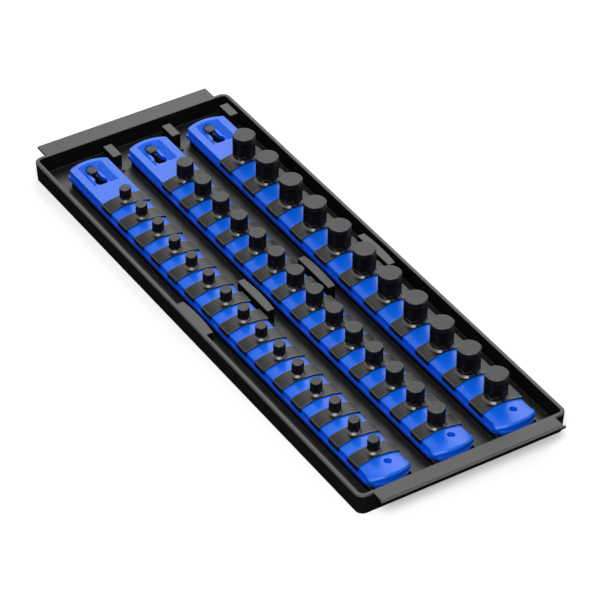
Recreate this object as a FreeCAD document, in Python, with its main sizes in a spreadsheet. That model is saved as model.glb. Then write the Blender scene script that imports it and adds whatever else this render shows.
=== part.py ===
import FreeCAD, Part
import os
import Sketcher

# A drawer tray for sockets, in millimetres: an open moulded tray, three rails that lock on
# keyhole studs in its floor, and a row of sliding clips on each rail. Each clip carries a
# twist-lock post of its rail's drive size. +Y runs along the rails, +Z is up, and the origin
# is at the middle of the underside.

doc = FreeCAD.newDocument("socket_organizer")
sheet = doc.addObject("Spreadsheet::Sheet", "Dim")

TRAY = {
    "tray_width": 126.0,
    "tray_length": 337.4,
    "tray_height": 12.0,
    "wall_thickness": 2.3,
    "floor_thickness": 1.9,
    "tray_corner": 5.0,
    "outer_draft": 0.8,
    "inner_draft": 0.5,
    "rim_chamfer": 0.5,
    "flange_width": 109.2,
    "flange_thickness": 1.4,
    "far_flange": 9.3,
    "near_flange": 8.3,
    "lip_width": 1.0,
    "lip_overhang": 0.8,
    "lip_groove_width": 0.35,
    "lip_groove_depth": 0.35,
}
SEAT = {
    "side_margin": 12.0,
    "rail_seat": 6.0,
    "rib_thickness": 1.2,
    "rib_spread": 25.2,
    "rib_setback": 6.6,
    "block_height": 11.5,
    "block_offset": 17.5,
    "stop_width": 5.2,
    "stop_length": 11.8,
    "stop_far_gap": 9.6,
    "toe_reach": 3.3,
    "toe_height": 1.0,
    "bar_width": 5.1,
    "bar_length": 30.6,
    "bar_middle": -1.7,
    "bar_bow": 0.9,
    "wall_bar_width": 5.25,
}
STUD = {
    "stud_inset": 7.2,
    "stud_head_radius": 3.2,
    "stud_head_gap": 0.1,
    "stud_head_thickness": 1.5,
    "stud_head_chamfer": 0.5,
    "shank_radius": 2.0,
    "boss_radius": 4.0,
    "boss_height": 1.2,
    "shank_depth": 1.8,
    "shank_gap": 0.05,
}
RAIL = {
    "far_end_gap": 16.1,
    "near_end_gap": 6.7,
    "rail_end_bow": 3.3,
    "base_width": 26.4,
    "base_thickness": 1.9,
    "base_reach": 0.8,
    "base_near_bow": 2.4,
    "base_corner_length": 5.5,
    "base_corner_width": 3.5,
    "handle_width": 23.8,
    "handle_height": 5.3,
    "handle_corner": 1.5,
    "crown_width": 23.2,
    "crown_edge": 4.4,
    "crown_rise": 1.9,
    "ear_width": 24.5,
    "ear_length": 7.0,
    "near_end_bow": 4.0,
    "near_end_chamfer": 0.9,
    "groove_height": 1.1,
    "groove_depth": 0.6,
    "recess_width": 14.7,
    "recess_length": 24.3,
    "recess_border": 2.5,
    "recess_floor": 2.3,
    "recess_slope": 3.4,
    "slot_clearance": 0.3,
    "head_clearance": 0.4,
    "unlock_travel": 10.4,
    "end_hole_radius": 2.1,
    "end_hole_x": 2.4,
    "end_hole_inset": 10.0,
    "end_hole_depth": 3.6,
    "rail_skin": 1.7,
    "web_thickness": 1.5,
    "near_cap": 14.0,
    "far_cap": 44.6,
}
CLIP = {
    "first_clip_inset": 45.2,
    "clip_end_gap": 0.1,
    "clip_width": 25.0,
    "clip_thickness": 0.9,
    "post_sink": 0.7,
    "slide_clearance": 0.2,
    "skirt_gap": 0.15,
    "lug_height": 0.8,
    "ledge_rise": 0.3,
    "lock_turn": -56.5,
    "lobe_turn": -24.0,
}
# One group of sizes for each drive: quarter, three-eighths and half inch.
DRIVES = {
    "quarter": {
        "length": 9.1,
        "last_gap": 7.95,
        "clip_count": 15,
        "radius": 3.1,
        "lobe": 3.25,
        "lock_flat": 2.8,
        "rise": 7.7,
        "head": 2.0,
        "notch_step": 0.2,
        "notch_end": 1.4,
        "core_half": 1.0,
        "core_reach": 2.0,
    },
    "three_eighths": {
        "length": 9.0,
        "last_gap": 8.43,
        "clip_count": 14,
        "radius": 4.6,
        "lobe": 4.8,
        "lock_flat": 4.18,
        "rise": 10.7,
        "head": 2.7,
        "notch_step": 0.3,
        "notch_end": 2.1,
        "core_half": 1.5,
        "core_reach": 3.0,
    },
    "half": {
        "length": 11.7,
        "last_gap": 9.45,
        "clip_count": 11,
        "radius": 6.2,
        "lobe": 6.45,
        "lock_flat": 5.6,
        "rise": 14.7,
        "head": 3.4,
        "notch_step": 0.4,
        "notch_end": 2.8,
        "core_half": 2.0,
        "core_reach": 4.0,
    },
}
CELL_COUNT = 6
POST_SIDE_COUNT = 16
STUD_SIDE_COUNT = 24
SADDLE_BEND_COUNT = 4
# Two places nearer than this are taken as one.
TOUCH = 0.01


def fill_sheet(groups):
    """Write one named value to a row: its name in column A, the number and alias in B."""
    row = 1
    for group in groups:
        for name, number in group.items():
            sheet.set(f"A{row}", name)
            sheet.set(f"B{row}", str(number))
            sheet.setAlias(f"B{row}", name)
            row += 1
    doc.recompute()


drive_values = {
    f"{drive}_{name}": number
    for drive, values in DRIVES.items()
    for name, number in values.items()
}
fill_sheet([TRAY, SEAT, STUD, RAIL, CLIP, drive_values])


def value(expression):
    """The present number of an expression in the sheet's names."""
    result = sheet.evalExpression(expression)
    return float(getattr(result, "Value", result))


def bow_radius(chord, bow):
    """The radius, as an expression, of an arc with this chord and this rise at its middle."""
    return f"(({chord}) ^ 2 / 4 + ({bow}) ^ 2) / (2 * ({bow}))"


def new_body(label):
    body = doc.addObject("PartDesign::Body", label)
    body.Label = label
    return body


def origin_feature(body, role):
    return next(item for item in body.Origin.OriginFeatures if item.Role == role)


def new_sketch(body, name, level="0", plane="XY_Plane"):
    """A sketch on one of the body's own planes, raised by the level along the plane's normal."""
    sketch = body.newObject("Sketcher::SketchObject", name)
    sketch.AttachmentSupport = [(origin_feature(body, plane), "")]
    sketch.MapMode = "FlatFace"
    sketch.setExpression("AttachmentOffset.Base.z", f"({level}) * 1 mm")
    return sketch


def bound(sketch, constraint, expression):
    """Add a constraint whose size follows the expression."""
    index = sketch.addConstraint(Sketcher.Constraint(*constraint, value(expression)))
    name = f"size_{index}"
    sketch.renameConstraint(index, name)
    sketch.setExpression(f"Constraints.{name}", expression)


def hold(sketch, edge, end, x, y):
    """Hold a point of an edge at its distances from the sketch's origin."""
    bound(sketch, ("DistanceX", -1, 1, edge, end), x)
    bound(sketch, ("DistanceY", -1, 1, edge, end), y)


def arc_between(start, end, radius):
    """The shorter arc that runs counter-clockwise from start to end."""
    chord = end - start
    across = FreeCAD.Vector(-chord.y, chord.x, 0).normalize()
    reach = max(radius**2 - chord.Length**2 / 4, 0) ** 0.5
    centre = (start + end) / 2 + across * reach
    middle = centre - across * radius
    return Part.Arc(start, middle, end)


def outline(sketch, corners, bowed=None, hollowed=None):
    """Draw a closed outline counter-clockwise through the corners, each a pair of expressions.

    An edge is straight unless it is listed: bowed holds the radius of an edge that swells
    outwards, and hollowed that of an edge that curves inwards, by the edge's number."""
    bowed = bowed or {}
    hollowed = hollowed or {}
    points = [FreeCAD.Vector(value(x), value(y), 0) for x, y in corners]
    ends = []
    for number, start in enumerate(points):
        end = points[(number + 1) % len(points)]
        if number in bowed:
            edge = sketch.addGeometry(arc_between(start, end, value(bowed[number])))
            ends.append((edge, 1, 2))
            bound(sketch, ("Radius", edge), bowed[number])
        elif number in hollowed:
            edge = sketch.addGeometry(arc_between(end, start, value(hollowed[number])))
            ends.append((edge, 2, 1))
            bound(sketch, ("Radius", edge), hollowed[number])
        else:
            edge = sketch.addGeometry(Part.LineSegment(start, end))
            ends.append((edge, 1, 2))
    for number, (edge, first, last) in enumerate(ends):
        following, following_first, _ = ends[(number + 1) % len(ends)]
        sketch.addConstraint(
            Sketcher.Constraint("Coincident", edge, last, following, following_first)
        )
        hold(sketch, edge, first, *corners[number])


def rectangle(sketch, left, right, low, high):
    outline(sketch, [(left, low), (right, low), (right, high), (left, high)])


def rounded_rectangle(sketch, width, length, radius):
    """A rectangle about the sketch's origin with four equal rounded corners."""
    side = f"({width}) / 2"
    end = f"({length}) / 2"
    inner_side = f"({side} - ({radius}))"
    inner_end = f"({end} - ({radius}))"
    corners = [
        (f"-{inner_side}", f"-{end}"),
        (inner_side, f"-{end}"),
        (side, f"-{inner_end}"),
        (side, inner_end),
        (inner_side, end),
        (f"-{inner_side}", end),
        (f"-{side}", inner_end),
        (f"-{side}", f"-{inner_end}"),
    ]
    outline(sketch, corners, bowed={1: radius, 3: radius, 5: radius, 7: radius})


def circle(sketch, x, y, radius):
    centre = FreeCAD.Vector(value(x), value(y), 0)
    ring = sketch.addGeometry(
        Part.Circle(centre, FreeCAD.Vector(0, 0, 1), value(radius))
    )
    bound(sketch, ("Radius", ring), radius)
    hold(sketch, ring, 3, x, y)


def pad(body, name, sketch, length, backwards=False, taper=None):
    feature = body.newObject("PartDesign::Pad", name)
    feature.Profile = sketch
    feature.Reversed = backwards
    feature.setExpression("Length", f"({length}) * 1 mm")
    if taper:
        feature.setExpression("TaperAngle", taper)
    return feature


def pocket(body, name, sketch, length, backwards=False, taper=None):
    feature = body.newObject("PartDesign::Pocket", name)
    feature.Profile = sketch
    feature.Reversed = backwards
    feature.setExpression("Length", f"({length}) * 1 mm")
    if taper:
        feature.setExpression("TaperAngle", taper)
    return feature


def linear_pattern(body, name, features, axis, length, count):
    pattern = body.newObject("PartDesign::LinearPattern", name)
    pattern.Originals = features
    pattern.Direction = (origin_feature(body, axis), [""])
    pattern.setExpression("Length", f"({length}) * 1 mm")
    pattern.Occurrences = count
    body.Tip = pattern
    return pattern


def polar_pattern(body, name, features, count):
    pattern = body.newObject("PartDesign::PolarPattern", name)
    pattern.Originals = features
    pattern.Axis = (origin_feature(body, "Z_Axis"), [""])
    pattern.Angle = 360
    pattern.Occurrences = count
    body.Tip = pattern
    return pattern


def dress(body, kind, name, base, edges, size):
    """Round or chamfer the named edges or faces of the base feature."""
    feature = body.newObject(f"PartDesign::{kind}", name)
    feature.Base = (base, edges)
    feature.setExpression("Radius" if kind == "Fillet" else "Size", f"({size}) * 1 mm")
    body.Tip = feature
    return feature


def edges_where(shape, test):
    return [f"Edge{n}" for n, edge in enumerate(shape.Edges, 1) if test(edge)]


def place(body, x, y, z):
    """Put the body at three expressions, each in millimetres."""
    for axis, distance in zip("xyz", (x, y, z)):
        body.setExpression(f"Placement.Base.{axis}", f"({distance}) * 1 mm")


# The flanges differ in reach, so the tray's middle lies off the whole object's middle. All that
# lies along the rails is placed from the tray's ends, and each clip row fills its rail.
TRAY_MIDDLE = "(Dim.near_flange - Dim.far_flange) / 2"
RAIL_PITCH = f"((Dim.tray_width - Dim.side_margin) / {len(DRIVES)})"
RAIL_LINES = {"quarter": f"-{RAIL_PITCH}", "three_eighths": "0", "half": RAIL_PITCH}
FAR_END = "(Dim.tray_length / 2 - Dim.far_end_gap)"
NEAR_END = "(Dim.tray_length / 2 - Dim.near_end_gap)"
EARS = f"({NEAR_END} - Dim.ear_length)"
STUD_Y = f"({FAR_END} - Dim.stud_inset)"
OPENING_Y = f"({STUD_Y} - Dim.unlock_travel)"
FIRST_CLIP = f"({FAR_END} - Dim.first_clip_inset)"


def make_tray():
    body = new_body("tray")
    block = new_sketch(body, "rim_outline", "Dim.tray_height")
    rounded_rectangle(block, "Dim.tray_width", "Dim.tray_length", "Dim.tray_corner")
    shell = pad(
        body,
        "outer_walls",
        block,
        "Dim.tray_height",
        backwards=True,
        taper="-atan(Dim.outer_draft / Dim.tray_height)",
    )
    doc.recompute()
    top = value("Dim.tray_height")
    rim_edges = edges_where(shell.Shape, lambda edge: edge.BoundBox.ZMin > top - TOUCH)
    dress(body, "Chamfer", "rim_chamfer", shell, rim_edges, "Dim.rim_chamfer")
    inside = new_sketch(body, "inner_outline", "Dim.tray_height")
    rounded_rectangle(
        inside,
        "Dim.tray_width - 2 * Dim.wall_thickness",
        "Dim.tray_length - 2 * Dim.wall_thickness",
        "Dim.tray_corner - Dim.wall_thickness",
    )
    depth = "Dim.tray_height - Dim.floor_thickness"
    pocket(body, "hollow", inside, depth, taper=f"-atan(Dim.inner_draft / ({depth}))")
    add_flanges(body)
    add_seats(body)
    place(body, "0", TRAY_MIDDLE, "0")
    return body


def add_flanges(body):
    """Two thin hand flanges, level with the rim; the near one ends in a lip."""
    half_width = "Dim.flange_width / 2"
    end = "Dim.tray_length / 2"
    in_wall = f"({end} - Dim.wall_thickness / 2)"
    near_edge = f"-({end} + Dim.near_flange)"
    far = new_sketch(body, "far_flange_outline", "Dim.tray_height")
    rectangle(far, f"-{half_width}", half_width, in_wall, f"{end} + Dim.far_flange")
    pad(body, "far_flange", far, "Dim.flange_thickness", backwards=True)
    near = new_sketch(body, "near_flange_outline", "Dim.tray_height")
    rectangle(near, f"-{half_width}", half_width, near_edge, f"-{in_wall}")
    pad(body, "near_flange", near, "Dim.flange_thickness", backwards=True)
    lip = new_sketch(body, "lip_outline", "Dim.tray_height")
    lip_half = f"({half_width} + Dim.lip_overhang)"
    rectangle(lip, f"-{lip_half}", lip_half, near_edge, f"{near_edge} + Dim.lip_width")
    pad(body, "near_lip", lip, "Dim.flange_thickness", backwards=True)
    groove = new_sketch(body, "lip_groove_outline", "Dim.tray_height")
    groove_start = f"{near_edge} + Dim.lip_width"
    rectangle(
        groove,
        f"-{half_width}",
        half_width,
        groove_start,
        f"{groove_start} + Dim.lip_groove_width",
    )
    pocket(body, "lip_groove", groove, "Dim.lip_groove_depth")


def add_seats(body):
    """What holds one rail, repeated for three: two ribs, a stop post, a bar and a boss."""
    rail_x = RAIL_LINES["quarter"]
    floor = "Dim.floor_thickness"
    near_wall = "-(Dim.tray_length / 2 - Dim.wall_thickness / 2)"
    rib_height = "Dim.rail_seat - Dim.floor_thickness"
    seats = []
    for side, name in (("-", "left_rib"), ("+", "right_rib")):
        outer = f"{rail_x} {side} Dim.rib_spread / 2"
        inner = f"{rail_x} {side} (Dim.rib_spread / 2 - Dim.rib_thickness)"
        left, right = (outer, inner) if side == "-" else (inner, outer)
        rib = new_sketch(body, f"{name}_outline", floor)
        rectangle(rib, left, right, near_wall, f"{FAR_END} - Dim.rib_setback")
        seats.append(pad(body, name, rib, rib_height))

    block_x = f"{rail_x} + Dim.block_offset"
    block_rise = "Dim.block_height - Dim.floor_thickness"
    stop_left = f"{block_x} - Dim.stop_width / 2"
    stop_right = f"{block_x} + Dim.stop_width / 2"
    stop = new_sketch(body, "stop_outline", floor)
    stop_end = "(Dim.tray_length / 2 - Dim.stop_far_gap)"
    stop_start = f"({stop_end} - Dim.stop_length)"
    rectangle(stop, stop_left, stop_right, stop_start, stop_end)
    seats.append(pad(body, "stop_post", stop, block_rise))
    toe = new_sketch(body, "toe_outline", floor)
    toe_start = f"{stop_start} - Dim.toe_reach"
    rectangle(toe, stop_left, stop_right, toe_start, stop_start)
    seats.append(pad(body, "stop_toe", toe, "Dim.toe_height"))
    bar = new_sketch(body, "bar_outline", floor)
    bar_outline(bar, f"{block_x} - Dim.bar_width / 2", f"{block_x} + Dim.bar_width / 2")
    seats.append(pad(body, "bar", bar, block_rise))

    boss = new_sketch(body, "boss_outline", floor)
    circle(boss, rail_x, STUD_Y, "Dim.boss_radius")
    seats.append(pad(body, "stud_boss", boss, "Dim.boss_height"))
    hole = new_sketch(body, "stud_hole_outline", f"{floor} + Dim.boss_height")
    circle(hole, rail_x, STUD_Y, "Dim.shank_radius + Dim.shank_gap")
    seats.append(pocket(body, "stud_hole", hole, "Dim.shank_depth"))
    linear_pattern(body, "seat_row", seats, "X_Axis", f"2 * {RAIL_PITCH}", len(RAIL_LINES))

    wall_bar = new_sketch(body, "wall_bar_outline", floor)
    in_wall = "-(Dim.tray_width / 2 - Dim.wall_thickness / 2)"
    inner_wall = "(Dim.tray_width / 2 - Dim.wall_thickness)"
    bar_outline(wall_bar, in_wall, f"-({inner_wall} - Dim.wall_bar_width)")
    pad(body, "wall_bar", wall_bar, block_rise)


def bar_outline(sketch, left, right):
    """A bar's plan: straight on the left and slightly bowed on the right."""
    low = "Dim.bar_middle - Dim.bar_length / 2"
    high = "Dim.bar_middle + Dim.bar_length / 2"
    edge = f"{right} - Dim.bar_bow"
    outline(
        sketch,
        [(left, low), (edge, low), (edge, high), (left, high)],
        bowed={1: bow_radius("Dim.bar_length", "Dim.bar_bow")},
    )


def ring_corners(reach, count, turn="0", lobe=None):
    """Corners of a many-sided plan; two opposite ones reach out to the lobe, where it is given."""
    corners = []
    for number in range(count):
        far = lobe if lobe and number % (count // 2) == 0 else reach
        angle = f"({turn} + {number * 360 / count}) * 1 deg"
        corners.append((f"({far}) * cos({angle})", f"({far}) * sin({angle})"))
    return corners


def make_stud(drive):
    """A stud whose shank stands in the boss, and whose head holds the rail down."""
    body = new_body(f"{drive}_stud")
    foot = "(Dim.floor_thickness + Dim.boss_height - Dim.shank_depth)"
    under_head = "(Dim.rail_seat + Dim.recess_floor + Dim.stud_head_gap)"
    shank = new_sketch(body, "shank_outline", foot)
    outline(shank, ring_corners("Dim.shank_radius", STUD_SIDE_COUNT))
    pad(body, "shank", shank, f"{under_head} - {foot}")
    head = new_sketch(body, "head_outline", under_head)
    outline(head, ring_corners("Dim.stud_head_radius", STUD_SIDE_COUNT))
    disc = pad(body, "head", head, "Dim.stud_head_thickness")
    doc.recompute()
    top = value(f"{under_head} + Dim.stud_head_thickness")
    rim = edges_where(disc.Shape, lambda edge: edge.BoundBox.ZMin > top - TOUCH)
    dress(body, "Chamfer", "head_chamfer", disc, rim, "Dim.stud_head_chamfer")
    place(body, RAIL_LINES[drive], f"{TRAY_MIDDLE} + {STUD_Y}", "0")
    return body


def crown_height(half_width, gap="0"):
    """The height, over a rail's underside, of the crown's arc moved outwards by the gap."""
    radius = bow_radius("Dim.crown_width", "Dim.crown_rise")
    middle = f"(Dim.crown_edge + Dim.crown_rise - {radius})"
    return f"{middle} + sqrt(({radius} + {gap}) ^ 2 - ({half_width}) ^ 2)"


def crown_profile(sketch, half_width, bottom, gap="0"):
    """A rail's section: straight sides under the crown's arc, moved outwards by the gap."""
    shoulder = crown_height(half_width, gap)
    radius = bow_radius("Dim.crown_width", "Dim.crown_rise")
    outline(
        sketch,
        [
            (f"-({half_width})", bottom),
            (half_width, bottom),
            (half_width, shoulder),
            (f"-({half_width})", shoulder),
        ],
        bowed={2: f"{radius} + {gap}"},
    )


def make_rail(drive):
    body = new_body(f"{drive}_rail")
    handle_start = f"({FIRST_CLIP} + Dim.{drive}_length / 2 + Dim.clip_end_gap)"
    add_rail_base(body)
    add_crown(body, handle_start)
    add_handle(body, handle_start)
    add_keyhole(body)
    add_rail_hollows(body)
    place(body, RAIL_LINES[drive], TRAY_MIDDLE, "Dim.rail_seat")
    return body


def add_rail_base(body):
    """The foot of the rail: a thin plate, wider than the crown, with cut near corners."""
    half_width = "Dim.base_width / 2"
    near_half = f"({half_width} - Dim.base_corner_width)"
    near_reach = f"({NEAR_END} + Dim.base_reach)"
    near = f"-({near_reach} - Dim.base_near_bow)"
    side_start = f"-({near_reach} - Dim.base_near_bow - Dim.base_corner_length)"
    far = f"({FAR_END} - Dim.rail_end_bow)"
    base = new_sketch(body, "base_outline")
    outline(
        base,
        [
            (f"-{near_half}", near),
            (near_half, near),
            (half_width, side_start),
            (half_width, far),
            (f"-{half_width}", far),
            (f"-{half_width}", side_start),
        ],
        bowed={
            0: bow_radius(f"2 * {near_half}", "Dim.base_near_bow"),
            3: bow_radius("Dim.base_width", "Dim.rail_end_bow"),
        },
    )
    pad(body, "base", base, "Dim.base_thickness")


def add_crown(body, handle_start):
    """The bowed top that the clips ride on, the wider ears that stop them, and the grooves."""
    crown = new_sketch(body, "crown_section", NEAR_END, "XZ_Plane")
    crown_profile(crown, "Dim.crown_width / 2", "Dim.base_thickness")
    crown_length = f"{NEAR_END} + {handle_start}"
    pad(body, "crown", crown, crown_length, backwards=True)
    ears = new_sketch(body, "ear_section", NEAR_END, "XZ_Plane")
    crown_profile(ears, "Dim.ear_width / 2", "Dim.base_thickness")
    pad(body, "ears", ears, "Dim.ear_length", backwards=True)

    half_width = "Dim.ear_width / 2"
    corner = f"-({NEAR_END} - Dim.near_end_bow)"
    outside = f"-({NEAR_END} + Dim.near_end_bow)"
    trim = new_sketch(body, "near_end_trim", "Dim.crown_edge + Dim.crown_rise")
    outline(
        trim,
        [
            (f"-{half_width}", corner),
            (f"-({half_width} + Dim.near_end_bow)", corner),
            (f"-({half_width} + Dim.near_end_bow)", outside),
            (f"{half_width} + Dim.near_end_bow", outside),
            (f"{half_width} + Dim.near_end_bow", corner),
            (half_width, corner),
        ],
        hollowed={5: bow_radius("Dim.ear_width", "Dim.near_end_bow")},
    )
    crown_rise = "Dim.crown_edge + Dim.crown_rise - Dim.base_thickness"
    near_end = pocket(body, "near_end", trim, crown_rise)
    doc.recompute()
    base_top = value("Dim.base_thickness")
    corner_y = value(corner)
    top_edge = edges_where(
        near_end.Shape,
        lambda edge: edge.BoundBox.ZMin > base_top + TOUCH and edge.BoundBox.YMax < corner_y + TOUCH,
    )
    dress(body, "Chamfer", "near_end_chamfer", near_end, top_edge, "Dim.near_end_chamfer")

    groove_top = "Dim.base_thickness + Dim.groove_height"
    groove_length = f"{EARS} + {handle_start}"
    inner = "(Dim.crown_width / 2 - Dim.groove_depth)"
    outer = "(Dim.crown_width / 2 + Dim.groove_depth)"
    for name, left, right in (
        ("left_groove", f"-{outer}", f"-{inner}"),
        ("right_groove", inner, outer),
    ):
        groove = new_sketch(body, f"{name}_section", EARS, "XZ_Plane")
        rectangle(groove, left, right, "Dim.base_thickness", groove_top)
        pocket(body, name, groove, groove_length)

    hole = new_sketch(body, "end_hole_outline", "Dim.crown_edge + Dim.crown_rise")
    hole_y = f"-({NEAR_END} - Dim.end_hole_inset)"
    circle(hole, "Dim.end_hole_x", hole_y, "Dim.end_hole_radius")
    pocket(body, "end_hole", hole, "Dim.end_hole_depth")


def add_handle(body, handle_start):
    """The flat far end, with a sloping recess round the keyhole."""
    half_width = "Dim.handle_width / 2"
    far = f"({FAR_END} - Dim.rail_end_bow)"
    end_radius = bow_radius("Dim.handle_width", "Dim.rail_end_bow")
    handle = new_sketch(body, "handle_outline", "Dim.base_thickness")
    outline(
        handle,
        [
            (f"-{half_width}", handle_start),
            (half_width, handle_start),
            (half_width, far),
            (f"-{half_width}", far),
        ],
        bowed={2: end_radius},
    )
    block = pad(body, "handle", handle, "Dim.handle_height - Dim.base_thickness")
    doc.recompute()
    far_y = value(far)
    corners = edges_where(
        block.Shape,
        lambda edge: edge.BoundBox.YLength < TOUCH
        and edge.BoundBox.XLength < TOUCH
        and abs(edge.BoundBox.YMin - far_y) < TOUCH,
    )
    dress(body, "Fillet", "handle_corners", block, corners, "Dim.handle_corner")

    recess_radius = f"({end_radius} - Dim.recess_border)"
    end_centre = f"({FAR_END} - {end_radius})"
    recess_half = "Dim.recess_width / 2"
    recess_end = f"{end_centre} + sqrt({recess_radius} ^ 2 - ({recess_half}) ^ 2)"
    recess_start = f"({FAR_END} - Dim.recess_length)"
    recess = new_sketch(body, "recess_outline", "Dim.handle_height")
    outline(
        recess,
        [
            (f"-{recess_half}", recess_start),
            (recess_half, recess_start),
            (recess_half, recess_end),
            (f"-{recess_half}", recess_end),
        ],
        bowed={2: recess_radius},
    )
    depth = "(Dim.handle_height - Dim.recess_floor)"
    pocket(body, "recess", recess, depth, taper=f"-atan(Dim.recess_slope / {depth})")


def cut_slot(body, name, radius, level, depth):
    """Cut a slot of this half-width from the opening to a round end about the stud's seat."""
    end = new_sketch(body, f"{name}_end_outline", level)
    circle(end, "0", STUD_Y, radius)
    pocket(body, f"{name}_end", end, depth)
    run = new_sketch(body, f"{name}_outline", level)
    rectangle(run, f"-({radius})", radius, OPENING_Y, STUD_Y)
    pocket(body, name, run, depth)


def add_keyhole(body):
    """The opening passes the stud's head; the slot holds its shank once the rail is pushed in.

    A level channel, as wide as the opening, lets the head slide along the recess."""
    head = "Dim.stud_head_radius + Dim.head_clearance"
    recess_depth = "Dim.handle_height - Dim.recess_floor"
    shank = "Dim.shank_radius + Dim.slot_clearance"
    cut_slot(body, "head_channel", head, "Dim.handle_height", recess_depth)
    cut_slot(body, "shank_slot", shank, "Dim.recess_floor", "Dim.recess_floor")
    opening = new_sketch(body, "opening_outline", "Dim.handle_height")
    circle(opening, "0", OPENING_Y, head)
    pocket(body, "keyhole_opening", opening, "Dim.handle_height")


def add_rail_hollows(body):
    """The moulding is cored out from below, with cross webs between the cells."""
    half_width = "(Dim.crown_width / 2 - Dim.rail_skin)"
    cell_start = f"({NEAR_END} - Dim.near_cap)"
    span = f"({cell_start} + {FAR_END} - Dim.far_cap)"
    cell_pitch = f"({span} + Dim.web_thickness) / {CELL_COUNT}"
    cell = new_sketch(body, "cell_section", cell_start, "XZ_Plane")
    crown_profile(cell, half_width, "0", "-Dim.rail_skin")
    first = pocket(body, "cell", cell, f"{cell_pitch} - Dim.web_thickness")
    row_length = f"{cell_pitch} * {CELL_COUNT - 1}"
    linear_pattern(body, "cells", [first], "Y_Axis", row_length, CELL_COUNT)


def make_clip_form(drive):
    """One clip of a drive size: a saddle that rides on the crown, and a twist-lock post."""
    body = new_body(f"{drive}_clip_form")
    saddle_top = "(Dim.crown_edge + Dim.crown_rise + Dim.slide_clearance + Dim.clip_thickness)"
    saddle = new_sketch(body, "saddle_section", plane="XZ_Plane")
    saddle_profile(saddle)
    riding = pad(body, "saddle", saddle, f"Dim.{drive}_length")
    riding.Midplane = True

    foot = f"({saddle_top} - Dim.post_sink)"
    post = new_sketch(body, "post_outline", foot)
    radius = f"Dim.{drive}_radius"
    lobe = f"Dim.{drive}_lobe"
    outline(post, ring_corners(radius, POST_SIDE_COUNT, "Dim.lobe_turn", lobe))
    pad(body, "post", post, f"Dim.{drive}_rise + Dim.post_sink")
    top = f"({saddle_top} + Dim.{drive}_rise)"
    lock = new_sketch(body, "lock_flat_outline", top)
    lock.setExpression("AttachmentOffset.Rotation.Angle", "Dim.lock_turn * 1 deg")
    rectangle(lock, f"Dim.{drive}_lock_flat", f"2 * {radius}", f"-{radius}", radius)
    lock_depth = f"Dim.{drive}_rise - Dim.ledge_rise"
    lock_flat = pocket(body, "lock_flat", lock, lock_depth)
    polar_pattern(body, "lock_flats", [lock_flat], 2)
    notch = new_sketch(body, "notch_outline", f"{top} - Dim.{drive}_head")
    outside = f"-2 * {radius}"
    outline(
        notch,
        [
            (outside, outside),
            (f"-Dim.{drive}_notch_step", outside),
            (f"-Dim.{drive}_notch_step", f"-Dim.{drive}_core_half"),
            (f"-Dim.{drive}_core_reach", f"-Dim.{drive}_core_half"),
            (f"-Dim.{drive}_core_reach", f"Dim.{drive}_notch_end"),
            (outside, f"Dim.{drive}_notch_end"),
        ],
    )
    depth = f"Dim.{drive}_rise - Dim.{drive}_head - Dim.ledge_rise"
    pocket(body, "notch", notch, depth)
    return body


def bent_edge(half_width, height_at):
    """Corners from +half_width to -half_width along a curve, in a few straight bends."""
    steps = [1 - 2 * number / SADDLE_BEND_COUNT for number in range(SADDLE_BEND_COUNT + 1)]
    places = [f"({step}) * {half_width}" for step in steps]
    return [(place, height_at(place)) for place in places]


def saddle_profile(sketch):
    """The section of a clip: a bent strip over the crown, and hooks that reach into the grooves."""
    half_width = "Dim.clip_width / 2"
    bottom = "(Dim.base_thickness + Dim.skirt_gap)"
    lug_top = f"({bottom} + Dim.lug_height)"
    inside = "(Dim.crown_width / 2 + Dim.slide_clearance)"
    lug = f"({inside} - Dim.groove_depth)"
    outer_gap = "(Dim.slide_clearance + Dim.clip_thickness)"
    outer = bent_edge(half_width, lambda x: crown_height(x, outer_gap))
    inner = bent_edge(inside, lambda x: crown_height(x, "Dim.slide_clearance"))
    outline(
        sketch,
        [
            (half_width, bottom),
            *outer,
            (f"-{half_width}", bottom),
            (f"-{lug}", lug_top),
            (f"-{inside}", lug_top),
            *reversed(inner),
            (inside, lug_top),
            (lug, lug_top),
        ],
    )


def make_clips(drive, form):
    """The clips of one rail: copies of the form at an even pitch from the handle down."""
    clips = []
    row_end = f"({EARS} - Dim.{drive}_last_gap - Dim.{drive}_length / 2)"
    pitch = f"({FIRST_CLIP} + {row_end}) / (Dim.{drive}_clip_count - 1)"
    for number in range(DRIVES[drive]["clip_count"]):
        clip = new_body(f"{drive}_clip_{number + 1:02d}")
        clip.BaseFeature = form
        along = f"{TRAY_MIDDLE} + {FIRST_CLIP} - {number} * {pitch}"
        place(clip, RAIL_LINES[drive], along, "Dim.rail_seat")
        clips.append(clip)
    return clips


subparts = [make_tray()]
for drive in DRIVES:
    subparts.append(make_stud(drive))
    subparts.append(make_rail(drive))
    subparts.extend(make_clips(drive, make_clip_form(drive)))
doc.recompute()

for item in doc.Objects:
    if {"Invalid", "Error"} & set(item.State):
        raise RuntimeError(f"{item.Label} did not build: {item.State}")
for part in subparts:
    if part.Shape.isNull() or not part.Shape.isValid() or not part.Shape.Solids:
        raise RuntimeError(f"{part.Label} has no sound solid")

os.makedirs("parts", exist_ok=True)
for part in subparts:
    part.Shape.exportStep(f"parts/{part.Label}.step")
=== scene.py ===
# %% [markdown]
# # A socket tray for a tool chest drawer
#
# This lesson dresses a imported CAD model: a black moulded tray, three blue rails and forty black
# clips with twist-lock posts. Every solid comes from the CAD frame at its real size, in metres, so
# nothing is built twice. What is left for Blender is the finish of each plastic, a small collar at
# the foot of each post, and the light.

# %% Load the frame
import math

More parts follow.
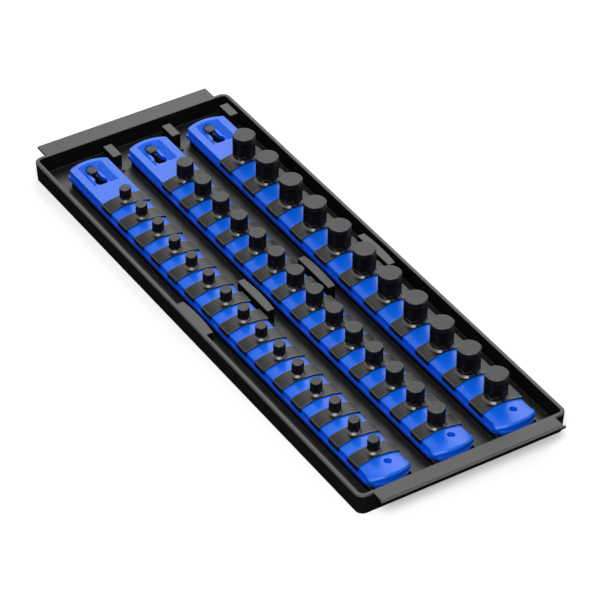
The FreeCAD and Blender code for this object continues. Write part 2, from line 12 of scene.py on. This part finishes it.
import bpy
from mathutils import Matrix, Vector


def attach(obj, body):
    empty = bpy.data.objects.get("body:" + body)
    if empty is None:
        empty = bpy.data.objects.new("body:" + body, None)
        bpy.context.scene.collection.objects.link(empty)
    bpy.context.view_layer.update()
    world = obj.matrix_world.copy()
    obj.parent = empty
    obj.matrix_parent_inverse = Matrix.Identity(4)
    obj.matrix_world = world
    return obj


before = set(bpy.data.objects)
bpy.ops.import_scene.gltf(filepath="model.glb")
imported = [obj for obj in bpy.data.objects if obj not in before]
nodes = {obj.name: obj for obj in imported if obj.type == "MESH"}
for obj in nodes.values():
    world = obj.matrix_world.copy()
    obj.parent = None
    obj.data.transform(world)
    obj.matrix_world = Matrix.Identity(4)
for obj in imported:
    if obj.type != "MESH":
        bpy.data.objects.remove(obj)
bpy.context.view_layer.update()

print(f"{len(nodes)} pieces from the frame")

# %% [markdown]
# ## Colours and nodes
#
# Paint charts and plastic samples are given as sRGB hex values, but shaders add up linear light.
# One function turns a hex value to linear, with the numbers of the sRGB standard, and one adds a node
# with its settings and its links, so each material below reads as a short list of what the surface
# is made of.
#
# A Mix node has one set of sockets for each kind of value, and several of them share a name. They are
# picked by number, so the numbers get names here.

# %% Colour and node helpers
MM = 0.001
MIX_VECTORS = (4, 5)
MIXED_VECTOR = 1
MIX_COLOURS = (6, 7)
MIXED_COLOUR = 2


def linear(hex_colour):
    """An sRGB hex colour as linear red, green, blue and alpha."""
    channels = [int(hex_colour[i : i + 2], 16) / 255 for i in (1, 3, 5)]
    return [c / 12.92 if c <= 0.04045 else ((c + 0.055) / 1.055) ** 2.4 for c in channels] + [1.0]


def add_node(tree, kind, settings=None, values=None, links=None):
    """Add a node: settings are its properties, values its socket numbers, links its inputs."""
    node = tree.nodes.new(kind)
    for name, setting in (settings or {}).items():
        setattr(node, name, setting)
    for socket, number in (values or {}).items():
        node.inputs[socket].default_value = number
    for socket, source in (links or {}).items():
        tree.links.new(source, node.inputs[socket])
    return node


def new_material(name):
    """An empty node material and its output node."""
    material = bpy.data.materials.new(name)
    material.use_nodes = True
    material.node_tree.nodes.clear()
    output = material.node_tree.nodes.new("ShaderNodeOutputMaterial")
    return material, material.node_tree, output


# %% [markdown]
# ## Which way a face looks
#
# Several finishes below depend on how far a face leans. Blender gives a normal in world space, which
# turns when a piece moves. Turned back to the piece's own axes, its Z is 1 on a level face and 0 on
# an upright one, wherever the piece is.

# %% Which way a face looks
def facing(tree, normal):
    """The parts of a world-space normal, read along the piece's own axes."""
    turned = add_node(
        tree,
        "ShaderNodeVectorTransform",
        settings={"vector_type": "NORMAL", "convert_from": "WORLD", "convert_to": "OBJECT"},
        links={"Vector": normal},
    )
    return add_node(tree, "ShaderNodeSeparateXYZ", links={"Vector": turned.outputs[0]})


# %% [markdown]
# ## Painted shade on the rails' foot plate
#
# The rails' foot plate lies low, between the clips and under the crown, in their shade. That shade
# is painted in: the plate is given a deeper blue than the crown above it. Everything below the
# plate's top is deep, and everything from the recess floor up is full blue. One body colour is mixed
# into the other by height, which needs no second material.

# %% Painted shade on the foot plate
# A deeper blue, painted on the foot plate as its shade.
PLATE_SHADE_BLUE = "#004AD4"
PLATE_TOP_MM = 7.95
RECESS_FLOOR_MM = 8.25


def painted_plate_shade(tree, place, colour):
    """The colour, or the deeper blue painted on the foot plate as shade, by height over the floor."""
    height = add_node(tree, "ShaderNodeSeparateXYZ", links={"Vector": place}).outputs["Z"]
    out_of_shade = add_node(
        tree,
        "ShaderNodeMapRange",
        values={"From Min": PLATE_TOP_MM * MM, "From Max": RECESS_FLOOR_MM * MM},
        links={"Value": height},
    )
    mixed = add_node(
        tree,
        "ShaderNodeMix",
        settings={"data_type": "RGBA"},
        values={MIX_COLOURS[0]: linear(PLATE_SHADE_BLUE)},
        links={0: out_of_shade.outputs["Result"], MIX_COLOURS[1]: colour},
    )
    return mixed.outputs[MIXED_COLOUR]


# %% [markdown]
# ## The bent faces of a clip
#
# A clip is an arch of about 37 mm radius, which the CAD model bends in four flats to stay light. The
# next cell shades those flats as one arch, and has to leave every other face alone. They are the
# faces that are nearly level but lean a little to one side. The post's top, which is level, and the
# upright sides are ruled out.

# %% The bent faces of a clip
LEAST_LEAN = 0.04
LEAST_RISE = 0.9


def bent_faces(tree, shape):
    """1 on the bent flats of a clip, and 0 on its other faces."""
    parts = facing(tree, shape)
    sideways = add_node(
        tree, "ShaderNodeMath", settings={"operation": "ABSOLUTE"}, links={0: parts.outputs["X"]}
    )
    leaning = add_node(
        tree,
        "ShaderNodeMath",
        settings={"operation": "GREATER_THAN"},
        values={1: LEAST_LEAN},
        links={0: sideways.outputs[0]},
    )
    level = add_node(
        tree,
        "ShaderNodeMath",
        settings={"operation": "GREATER_THAN"},
        values={1: LEAST_RISE},
        links={0: parts.outputs["Z"]},
    )
    bent = add_node(
        tree,
        "ShaderNodeMath",
        settings={"operation": "MULTIPLY"},
        links={0: leaning.outputs[0], 1: level.outputs[0]},
    )
    return bent.outputs[0]


# %% [markdown]
# ## The arch of a clip
#
# At a distance x from the middle of the rail, an arched surface leans by x over its radius. The rails
# lie 38 mm apart, so wrapping x to that pitch gives the distance from the nearest rail. Rounding the
# CAD further would be another way, but forty clips share the model's facets, and the steps are too
# low to show in the outline.

# %% The arch of a clip
RAIL_PITCH_MM = 38.0
ARCH_RADIUS_MM = 37.5


def arched_normal(tree, place, shape, plain):
    """The plain normal, or the arch's own on the bent faces of a clip."""
    across = add_node(tree, "ShaderNodeSeparateXYZ", links={"Vector": place}).outputs["X"]
    offset = add_node(
        tree,
        "ShaderNodeMath",
        settings={"operation": "WRAP"},
        values={1: RAIL_PITCH_MM / 2 * MM, 2: -RAIL_PITCH_MM / 2 * MM},
        links={0: across},
    )
    lean = add_node(
        tree,
        "ShaderNodeMath",
        settings={"operation": "DIVIDE"},
        values={1: ARCH_RADIUS_MM * MM},
        links={0: offset.outputs[0]},
    )
    upward = add_node(tree, "ShaderNodeCombineXYZ", values={"Z": 1.0}, links={"X": lean.outputs[0]})
    arch = add_node(
        tree,
        "ShaderNodeVectorTransform",
        settings={"vector_type": "NORMAL", "convert_from": "OBJECT", "convert_to": "WORLD"},
        links={"Vector": upward.outputs[0]},
    )
    mixed = add_node(
        tree,
        "ShaderNodeMix",
        settings={"data_type": "VECTOR"},
        links={
            0: bent_faces(tree, shape),
            MIX_VECTORS[0]: plain,
            MIX_VECTORS[1]: arch.outputs[0],
        },
    )
    return mixed.outputs[MIXED_VECTOR]


# %% [markdown]
# ## Gloss that follows the face
#
# A moulding is pushed out of its tool along its upright faces, which can scuff them, while its level
# faces lift off and keep their shine. So the gloss follows how far a face leans from level. Corners
# that face upwards shine most, as if hands and sockets had rubbed them: there the soft edge's normal
# leans away from the face's own, and the difference of the two adds gloss. A painted mask for each
# piece would do the same, with far more work.

# %% Gloss that follows the face
UPRIGHT_RISE = 0.1
LEVEL_RISE = 0.7
EDGE_TIP = 0.2


def shine_of(tree, shape, soft, upright, level, edge):
    """The specular level: one for upright faces, one for level faces and one for rubbed edges."""
    rise = facing(tree, shape).outputs["Z"]
    soft_rise = facing(tree, soft).outputs["Z"]
    flat_shine = add_node(
        tree,
        "ShaderNodeMapRange",
        values={"From Min": UPRIGHT_RISE, "From Max": LEVEL_RISE, "To Min": upright, "To Max": level},
        links={"Value": rise},
    )
    tipped = add_node(
        tree, "ShaderNodeMath", settings={"operation": "SUBTRACT"}, links={0: soft_rise, 1: rise}
    )
    rounding = add_node(
        tree, "ShaderNodeMath", settings={"operation": "ABSOLUTE"}, links={0: tipped.outputs[0]}
    )
    upward = add_node(
        tree,
        "ShaderNodeMath",
        settings={"operation": "GREATER_THAN"},
        values={1: UPRIGHT_RISE},
        links={0: soft_rise},
    )
    rubbed = add_node(
        tree,
        "ShaderNodeMath",
        settings={"operation": "MULTIPLY"},
        links={0: rounding.outputs[0], 1: upward.outputs[0]},
    )
    shine = add_node(
        tree,
        "ShaderNodeMapRange",
        values={"From Max": EDGE_TIP, "To Max": edge},
        links={"Value": rubbed.outputs[0], "To Min": flat_shine.outputs["Result"]},
    )
    return shine.outputs["Result"]


# %% [markdown]
# ## Moulded plastic
#
# All the plastics leave a steel mould, so they share a build: a body colour that shows through a
# clear skin, a fine grain that the mould was etched with, and edges that a tool can't make quite
# sharp. The grain is noise about a third of a millimetre across, as in a coarse mould texture. The
# soft edges are a bevel in the shader, a few tenths of a millimetre wide, which catches a thin line
# of light along each corner. A real bevel on every edge would cost many faces and show no more.

# %% Moulded plastic
PLASTIC_IOR = 1.5
CLOUD_MM = 18.0
ROUGH_SPREAD = 0.03


def moulded_plastic(
    name, body, tint, rough, grain_mm, grain_depth_mm, edge_mm, shine, arched=False, plate_shade=False
):
    """A moulded plastic: two close body colours, an etched grain and soft edges.

    Shine gives the specular level of upright faces, level faces and edges, by those names."""
    material, tree, output = new_material(name)
    place = add_node(tree, "ShaderNodeTexCoord").outputs["Object"]
    shape = add_node(tree, "ShaderNodeNewGeometry").outputs["Normal"]
    soft = add_node(
        tree, "ShaderNodeBevel", settings={"samples": 4}, values={"Radius": edge_mm * MM}
    ).outputs["Normal"]
    cloud = add_node(
        tree,
        "ShaderNodeTexNoise",
        values={"Scale": 1 / (CLOUD_MM * MM), "Detail": 3.0},
        links={"Vector": place},
    )
    mixed = add_node(
        tree,
        "ShaderNodeMix",
        settings={"data_type": "RGBA"},
        values={MIX_COLOURS[0]: linear(body), MIX_COLOURS[1]: linear(tint)},
        links={0: cloud.outputs["Fac"]},
    )
    colour = mixed.outputs[MIXED_COLOUR]
    grain = add_node(
        tree,
        "ShaderNodeTexNoise",
        values={"Scale": 1 / (grain_mm * MM), "Detail": 2.0, "Roughness": 0.6},
        links={"Vector": place},
    )
    roughness = add_node(
        tree,
        "ShaderNodeMapRange",
        values={"To Min": rough - ROUGH_SPREAD, "To Max": rough + ROUGH_SPREAD},
        links={"Value": grain.outputs["Fac"]},
    )
    form = arched_normal(tree, place, shape, soft) if arched else soft
    bump = add_node(
        tree,
        "ShaderNodeBump",
        values={"Strength": 1.0, "Distance": grain_depth_mm * MM},
        links={"Height": grain.outputs["Fac"], "Normal": form},
    )
    plastic = add_node(
        tree,
        "ShaderNodeBsdfPrincipled",
        values={"IOR": PLASTIC_IOR},
        links={
            # On the rails, the foot plate's blue is darkened by height as painted shade.
            "Base Color": painted_plate_shade(tree, place, colour) if plate_shade else colour,
            "Roughness": roughness.outputs["Result"],
            "Specular IOR Level": shine_of(tree, shape, soft, **shine),
            "Normal": bump.outputs["Normal"],
        },
    )
    tree.links.new(plastic.outputs["BSDF"], output.inputs["Surface"])
    return material


# %% [markdown]
# ## The tray's ABS
#
# ABS, coloured black in the mass and moulded against a satin tool. It looks deep black where nothing
# is mirrored in it, and grey on the floor, the rim and the flanges, which mirror the lamp.

# %% The tray's ABS
abs_black = moulded_plastic(
    "moulded ABS, black",
    body="#101010",
    tint="#131313",
    rough=0.38,
    grain_mm=0.35,
    grain_depth_mm=0.006,
    edge_mm=0.6,
    shine={"upright": 0.0, "level": 0.48, "edge": 0.9},
)
print("made", abs_black.name)

# %% [markdown]
# ## The clips' nylon
#
# Nylon is tougher than ABS and springs, which a clip needs. Its skin has a finer grain and mirrors
# the lamp less on level faces, so the saddles are a darker grey than the rim. A second, polished
# finish is for the feet of the posts, where sockets turn on the clip. It shows bright.

# %% The clips' nylon
nylon_black = moulded_plastic(
    "moulded nylon, black",
    body="#121212",
    tint="#151414",
    rough=0.34,
    grain_mm=0.30,
    grain_depth_mm=0.004,
    edge_mm=0.8,
    shine={"upright": 0.10, "level": 0.29, "edge": 1.5},
    arched=True,
)
nylon_rubbed = moulded_plastic(
    "moulded nylon, rubbed",
    body="#121212",
    tint="#151414",
    rough=0.30,
    grain_mm=0.30,
    grain_depth_mm=0.002,
    edge_mm=0.3,
    shine={"upright": 0.6, "level": 1.0, "edge": 1.0},
)
print("made", nylon_black.name, "and", nylon_rubbed.name)

# %% [markdown]
# ## The rails' polypropylene
#
# Polypropylene slides well against nylon, and takes a strong blue. Its tool is smoother than the
# tray's, so level faces have an even, pale shine under the lamp, and leaning ones keep the full blue.

# %% The rails' polypropylene
polypropylene_blue = moulded_plastic(
    "moulded polypropylene, blue",
    body="#0062E8",
    tint="#0066EE",
    rough=0.31,
    grain_mm=0.40,
    grain_depth_mm=0.003,
    edge_mm=0.5,
    shine={"upright": 0.10, "level": 0.35, "edge": 0.5},
    # The foot plate gets painted shade: a deeper blue below the recess floor.
    plate_shade=True,
)
print("made", polypropylene_blue.name)

# %% [markdown]
# ## Which piece is which plastic
#
# The nodes carry the names of the pieces, so the finish follows from the name: the tray is ABS, the
# rails are polypropylene, and the clips and the studs that hold the rails are nylon.

# %% Dress the nodes
FINISHES = {"tray": abs_black, "rail": polypropylene_blue, "stud": nylon_black, "clip": nylon_black}


def finish_of(name):
    """The plastic of a piece, from the word in its name that says what it is."""
    return next(material for part, material in FINISHES.items() if part in name)


for name, piece in nodes.items():
    piece.data.materials.clear()
    piece.data.materials.append(finish_of(name))
print(f"{len(nodes)} pieces dressed in {len(set(FINISHES.values()))} plastics")

# %% [markdown]
# ## Feet of the posts
#
# A small sloping collar joins each post to its saddle. It is too fine for the CAD, but it catches the
# lamp as a bright crescent, so it is made here. Its section is a slope from saddle to post, and
# reaches a little into both, so that no gap shows. A section revolved by a modifier would give a
# level ring, but a saddle is arched, so the points are placed one by one.

# %% The section of a collar
POST_RADIUS_MM = {"quarter": 3.1, "three_eighths": 4.6, "half": 6.2}
COLLAR_MM = 0.95
BURIED_MM = 0.15
REACH_MM = 0.45


def collar_section(radius):
    """Distance out from the post's axis and height over the saddle, once round the section."""
    outside, inside = radius + COLLAR_MM, radius - REACH_MM
    slope = [(outside, 0.0), (radius - BURIED_MM, COLLAR_MM)]
    return [(outside, -BURIED_MM)] + slope + [(inside, COLLAR_MM), (inside, -BURIED_MM)]


# %% [markdown]
# ## A collar on its saddle
#
# The section is carried round the post in equal turns. The arch of the saddle takes each point down
# by its distance from the middle of the rail, and the ends of the saddle cut the ring off, just
# inside the end faces. The middle and the ends are measured on the clip itself, on the corners of
# its sides. The post has none down there, and a post can be wider than its saddle is long.

# %% A collar on its saddle
SADDLE_TOP_MM = 13.4
SADDLE_SIDES_MM = 12.0
COLLAR_TURNS = 48
END_INSET_MM = 0.03


def collar_points(clip, section):
    """The corners of a collar, one section after another, in metres."""
    saddle = [point.co / MM for point in clip.data.vertices if point.co.z < SADDLE_SIDES_MM * MM]
    sides, ends = [point.x for point in saddle], [point.y for point in saddle]
    low, high = min(ends), max(ends)
    middle, centre = (min(sides) + max(sides)) / 2, (low + high) / 2
    points = []
    for step in range(COLLAR_TURNS):
        turn = 2 * math.pi * step / COLLAR_TURNS
        for out, height in section:
            across = out * math.sin(turn)
            along = centre + out * math.cos(turn)
            along = min(max(along, low + END_INSET_MM), high - END_INSET_MM)
            drop = ARCH_RADIUS_MM - math.sqrt(ARCH_RADIUS_MM**2 - across**2)
            points.append(Vector((middle + across, along, SADDLE_TOP_MM + height - drop)) * MM)
    return points


# %% [markdown]
# ## Skin of a collar
#
# Each pair of neighbouring sections is joined by a strip of four-sided faces, and the last pair
# closes the ring, so the collar is a solid with no open edge. The corners of each face are listed so
# that its normal points out. Edges sharper than the crease angle stay sharp, and the slope is shaded
# round. Then every clip gets its collar, which rides on the clip's own body.

# %% Skin of a collar
CREASE = math.radians(30)


def post_foot(name, clip, radius):
    """The collar round one post, made where its clip is."""
    section = collar_section(radius)
    rows = len(section)
    faces = [
        [
            step * rows + row,
            step * rows + (row + 1) % rows,
            (step + 1) % COLLAR_TURNS * rows + (row + 1) % rows,
            (step + 1) % COLLAR_TURNS * rows + row,
        ]
        for step in range(COLLAR_TURNS)
        for row in range(rows)
    ]
    mesh = bpy.data.meshes.new(name)
    mesh.from_pydata(collar_points(clip, section), [], faces)
    mesh.shade_smooth()
    mesh.set_sharp_from_angle(angle=CREASE)
    mesh.materials.append(nylon_rubbed)
    foot = bpy.data.objects.new(name, mesh)
    bpy.context.scene.collection.objects.link(foot)
    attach(foot, f"{clip.name}_body")
    return foot


feet = [
    post_foot(name.replace("clip", "foot"), piece, POST_RADIUS_MM[name.split("_clip")[0]])
    for name, piece in nodes.items()
    if "clip" in name
]
print(f"{len(feet)} collars, each riding on its clip")

# %% [markdown]
# ## White to the eye
#
# A white background is wanted, but light from it would wash out the black and the blue. A light path
# tells what kind of ray has met a surface. So a shader can show white to the eye, in mirrors and
# through glass, and something weaker to the diffuse light that falls on the tray. More lamps would
# whiten the floor too, but would light the tray along with it.

# %% White to the eye
WHITE = "#FFFFFF"


def white_to_sight(tree, unseen, seen):
    """Show one shader to the eye, in mirrors and through glass, and another to all other light."""
    path = add_node(tree, "ShaderNodeLightPath")
    mirror = add_node(
        tree,
        "ShaderNodeMath",
        settings={"operation": "MAXIMUM"},
        links={0: path.outputs["Is Camera Ray"], 1: path.outputs["Is Glossy Ray"]},
    )
    sight = add_node(
        tree,
        "ShaderNodeMath",
        settings={"operation": "MAXIMUM"},
        links={0: mirror.outputs[0], 1: path.outputs["Is Transmission Ray"]},
    )
    return add_node(
        tree, "ShaderNodeMixShader", links={0: sight.outputs[0], 1: unseen, 2: seen}
    ).outputs[0]


# %% [markdown]
# ## Floor
#
# A floor of plain pale paper, which takes the tray's soft shadow. A little glow, which only sight
# meets, lifts it to white. The lamps fade with distance, so the glow grows from the middle outwards.

# %% Floor
PAPER = "#F4F4F4"
FLOOR_SIZE = 8.0
FLOOR_GLOW = 0.34
GLOW_GROWS_FROM = 0.5
GLOW_IS_FULL_AT = 1.6


def pale_floor():
    """A pale floor that is white to the eye, with the tray's shadow left in."""
    material, tree, output = new_material("pale studio floor")
    paper = add_node(tree, "ShaderNodeBsdfDiffuse", values={"Color": linear(PAPER)})
    place = add_node(tree, "ShaderNodeNewGeometry").outputs["Position"]
    away = add_node(
        tree, "ShaderNodeVectorMath", settings={"operation": "LENGTH"}, links={0: place}
    )
    strength = add_node(
        tree,
        "ShaderNodeMapRange",
        values={"From Min": GLOW_GROWS_FROM, "From Max": GLOW_IS_FULL_AT, "To Min": FLOOR_GLOW},
        links={"Value": away.outputs["Value"]},
    )
    glow = add_node(
        tree,
        "ShaderNodeEmission",
        values={"Color": linear(WHITE)},
        links={"Strength": strength.outputs["Result"]},
    )
    lit = add_node(tree, "ShaderNodeAddShader", links={0: paper.outputs[0], 1: glow.outputs[0]})
    tree.links.new(
        white_to_sight(tree, paper.outputs[0], lit.outputs[0]), output.inputs["Surface"]
    )
    return material


bpy.ops.mesh.primitive_plane_add(size=FLOOR_SIZE, location=(0, 0, 0))
floor = bpy.context.object
floor.name = "studio_floor"
floor.data.materials.append(pale_floor())
print(f"floor {FLOOR_SIZE:g} m wide")

# %% [markdown]
# ## World
#
# The room around is white to the eye and in mirrors. To all other light it is a weak even fill,
# which opens the shadows between the rails a little.

# %% World
WORLD_FILL = 0.25
world = bpy.data.worlds.new("studio")
bpy.context.scene.world = world
world.use_nodes = True
tree = world.node_tree
tree.nodes.clear()
output = tree.nodes.new("ShaderNodeOutputWorld")
fill = add_node(
    tree, "ShaderNodeBackground", values={"Color": linear(WHITE), "Strength": WORLD_FILL}
)
white = add_node(tree, "ShaderNodeBackground", values={"Color": linear(WHITE), "Strength": 1.0})
tree.links.new(white_to_sight(tree, fill.outputs[0], white.outputs[0]), output.inputs["Surface"])
print(f"world fill {WORLD_FILL}")

# %% [markdown]
# ## Lamps
#
# Black plastic has almost no colour of its own: what is seen on it is the reflection of the lamps.
# One large soft panel stands behind the tray, to its right, at the angle at which a level surface
# mirrors it to the camera. It turns every level face grey and leaves the upright faces dark. A second
# panel stands in front, to the left. It brings out the blue of the near faces, and the collars and
# rounded edges catch it as thin bright lines.

# %% Lamps
def soft_panel(name, azimuth, elevation, distance, width, height, watts):
    """A rectangular area lamp that faces the tray, placed by its bearing from +Y towards +X."""
    turn, rise = math.radians(azimuth), math.radians(elevation)
    bearing = Vector(
        (math.sin(turn) * math.cos(rise), math.cos(turn) * math.cos(rise), math.sin(rise))
    )
    lamp = bpy.data.lights.new(name, "AREA")
    lamp.shape = "RECTANGLE"
    lamp.size, lamp.size_y, lamp.energy = width, height, watts
    holder = bpy.data.objects.new(name, lamp)
    holder.location = bearing * distance
    holder.rotation_euler = (-bearing).to_track_quat("-Z", "Y").to_euler()
    bpy.context.scene.collection.objects.link(holder)


soft_panel(
    "back_panel", azimuth=45.0, elevation=40.5, distance=1.0, width=0.92, height=0.7, watts=4.7
)
soft_panel(
    "front_panel", azimuth=222.0, elevation=48.0, distance=1.3, width=1.0, height=0.8, watts=12.2
)
print(f"{len(bpy.data.lights)} soft panels")

# %% [markdown]
# ## Camera
#
# The tray is seen from its near left corner through a long lens, from well back, so that its long
# edges stay almost parallel.

# %% Camera
AIM = Vector((-3.744, -18.899, 12.0)) * MM
CAMERA_DISTANCE = 1795.95 * MM
CAMERA_AZIMUTH = -31.96
CAMERA_ELEVATION = 37.98
SENSOR = 36.0
LENS = 204.04

turn, rise = math.radians(CAMERA_AZIMUTH), math.radians(CAMERA_ELEVATION)
back = Vector((math.sin(turn) * math.cos(rise), -math.cos(turn) * math.cos(rise), math.sin(rise)))
camera_data = bpy.data.cameras.new("camera")
camera_data.sensor_width = SENSOR
camera_data.lens = LENS
camera = bpy.data.objects.new("camera", camera_data)
camera.location = AIM + back * CAMERA_DISTANCE
camera.rotation_euler = (-back).to_track_quat("-Z", "Y").to_euler()
bpy.context.scene.collection.objects.link(camera)
bpy.context.scene.camera = camera
print(f"camera {CAMERA_DISTANCE:.2f} m away, {LENS:g} mm lens")

# %% [markdown]
# ## Finish
#
# The Standard view shows each colour as it was mixed.

# %% Finish
bpy.context.scene.view_settings.view_transform = "Standard"
